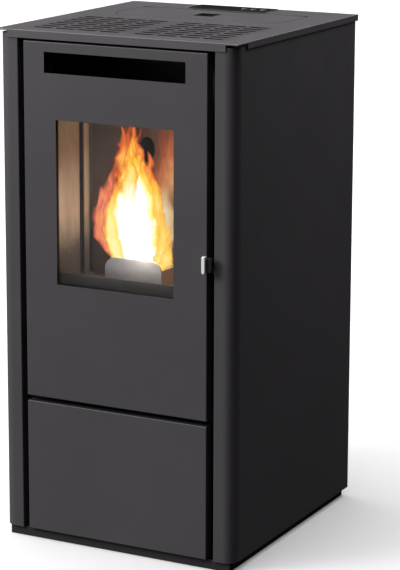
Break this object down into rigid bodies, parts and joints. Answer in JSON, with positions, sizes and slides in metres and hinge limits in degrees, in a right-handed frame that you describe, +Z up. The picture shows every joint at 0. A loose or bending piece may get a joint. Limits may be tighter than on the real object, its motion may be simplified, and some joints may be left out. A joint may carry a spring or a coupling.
{
  "type": "pellet stove",
  "caption": "Upright free-standing pellet stove with a tall windowed fire door, ash drawer, lidded hopper, slotted top grille, auger feed, fans and a rear flue outlet.",
  "frame": {"origin": "on the floor under the middle of the casing", "axes": "+Z up, the fire door faces -Y, +X to the right seen from the front"},
  "size_m": [0.45, 0.5355, 0.8832],
  "materials": {
    "casing_paint": "fine satin powder coat, anthracite",
    "black_paint": "matt heat-resistant black",
    "galvanised": "galvanised sheet",
    "fire_steel": "heat-stained sheet",
    "cast_iron": "grey cast iron",
    "chrome": "polished",
    "bright_steel": "turned steel",
    "fan_alloy": "die cast",
    "door_glass": "clear heat-resistant glass",
    "display_glass": "dark clear window",
    "gloss_black": "gloss",
    "matte_black": "fine texture",
    "board_green": "solder mask",
    "rope": "knitted glass fibre",
    "seal_rubber": "soft silicone"
  },
  "bodies": {
    "casing": {"left_side_panel": "casing_paint", "right_side_panel": "casing_paint", "top_cover": "casing_paint", "plinth_base": "black_paint", "front_frame": "black_paint", "door_hinge_brackets": "black_paint", "door_keeper": "black_paint", "flue_spigot": "black_paint", "air_intake_pipe": "black_paint", "lid_hinge_brackets": "black_paint", "rear_panel": "galvanised", "hopper": "galvanised", "hopper_guard": "galvanised", "drawer_runners": "galvanised", "ash_chute": "galvanised", "air_outlet_duct": "galvanised", "smoke_duct": "galvanised", "smoke_fan_housing": "galvanised", "room_fan_housing": "galvanised", "auger_tube": "galvanised", "pellet_chute": "galvanised", "burn_pot_holder": "galvanised", "firebox_left_wall": "fire_steel", "firebox_right_wall": "fire_steel", "firebox_back_wall": "fire_steel", "firebox_floor": "fire_steel", "firebox_back_liner": "cast_iron", "flame_baffle": "cast_iron", "burn_pot": "cast_iron", "rear_panel_screws": "bright_steel", "igniter": "bright_steel", "auger_gearmotor": "fan_alloy", "smoke_fan_motor": "fan_alloy", "room_fan_motor": "fan_alloy", "display_window": "display_glass", "control_panel": "gloss_black", "power_inlet": "matte_black", "control_board": "board_green"},
    "door": {"door_panel": "casing_paint", "door_inner_frame": "black_paint", "door_glass": "door_glass", "glass_clips": "galvanised", "door_rope_gasket": "rope", "door_frame_screws": "bright_steel", "door_hinge_knuckles": "black_paint", "latch_pivot": "bright_steel"},
    "latch": {"latch_lever": "black_paint", "latch_grip": "chrome"},
    "lid": {"hopper_lid": "casing_paint", "lid_finger_pull": "gloss_black", "lid_gasket": "seal_rubber"},
    "drawer": {"drawer_front": "casing_paint", "ash_drawer_box": "galvanised"},
    "auger": {"auger_screw": "bright_steel"},
    "smoke_fan": {"smoke_fan_impeller": "fan_alloy"},
    "room_fan": {"room_fan_impeller": "fan_alloy"},
    "power_button": {"button_power": "gloss_black"},
    "down_button": {"button_down": "gloss_black"},
    "up_button": {"button_up": "gloss_black"},
    "rocker": {"rocker_switch": "matte_black"}
  },
  "joints": [
    {"name": "door_hinge", "type": "hinge", "parent": "casing", "child": "door", "pos_m": [-0.165, -0.226, 0.36], "axis": [0, 0, -1], "range_deg": [0, 100]},
    {"name": "latch_pivot", "type": "hinge", "parent": "door", "child": "latch", "pos_m": [0.1775, -0.22, 0.519], "axis": [-1, 0, 0], "range_deg": [0, 20]},
    {"name": "lid_hinge", "type": "hinge", "parent": "casing", "child": "lid", "pos_m": [0, 0.1615, 0.877], "axis": [-1, 0, 0], "range_deg": [0, 95]},
    {"name": "drawer_slide", "type": "slide", "parent": "casing", "child": "drawer", "axis": [0, -1, 0], "range_m": [0, 0.15]},
    {"name": "auger_spin", "type": "hinge", "parent": "casing", "child": "auger", "pos_m": [-0.018, 0.14, 0.392], "axis": [0, -0.5, 0.866], "continuous": true},
    {"name": "smoke_fan_spin", "type": "hinge", "parent": "casing", "child": "smoke_fan", "pos_m": [-0.082, 0, 0.19], "axis": [0, 1, 0], "continuous": true},
    {"name": "room_fan_spin", "type": "hinge", "parent": "casing", "child": "room_fan", "pos_m": [-0.13, 0.15, 0.12], "axis": [1, 0, 0], "continuous": true},
    {"name": "power_button_press", "type": "slide", "parent": "casing", "child": "power_button", "axis": [0, 0, -1], "range_m": [0, 0.0012], "stiffness_N_per_m": 500},
    {"name": "down_button_press", "type": "slide", "parent": "casing", "child": "down_button", "axis": [0, 0, -1], "range_m": [0, 0.0012], "stiffness_N_per_m": 500},
    {"name": "up_button_press", "type": "slide", "parent": "casing", "child": "up_button", "axis": [0, 0, -1], "range_m": [0, 0.0012], "stiffness_N_per_m": 500},
    {"name": "rocker_tip", "type": "hinge", "parent": "casing", "child": "rocker", "pos_m": [-0.116, 0.224, 0.25], "axis": [1, 0, 0], "range_deg": [0, 16]}
  ]
}
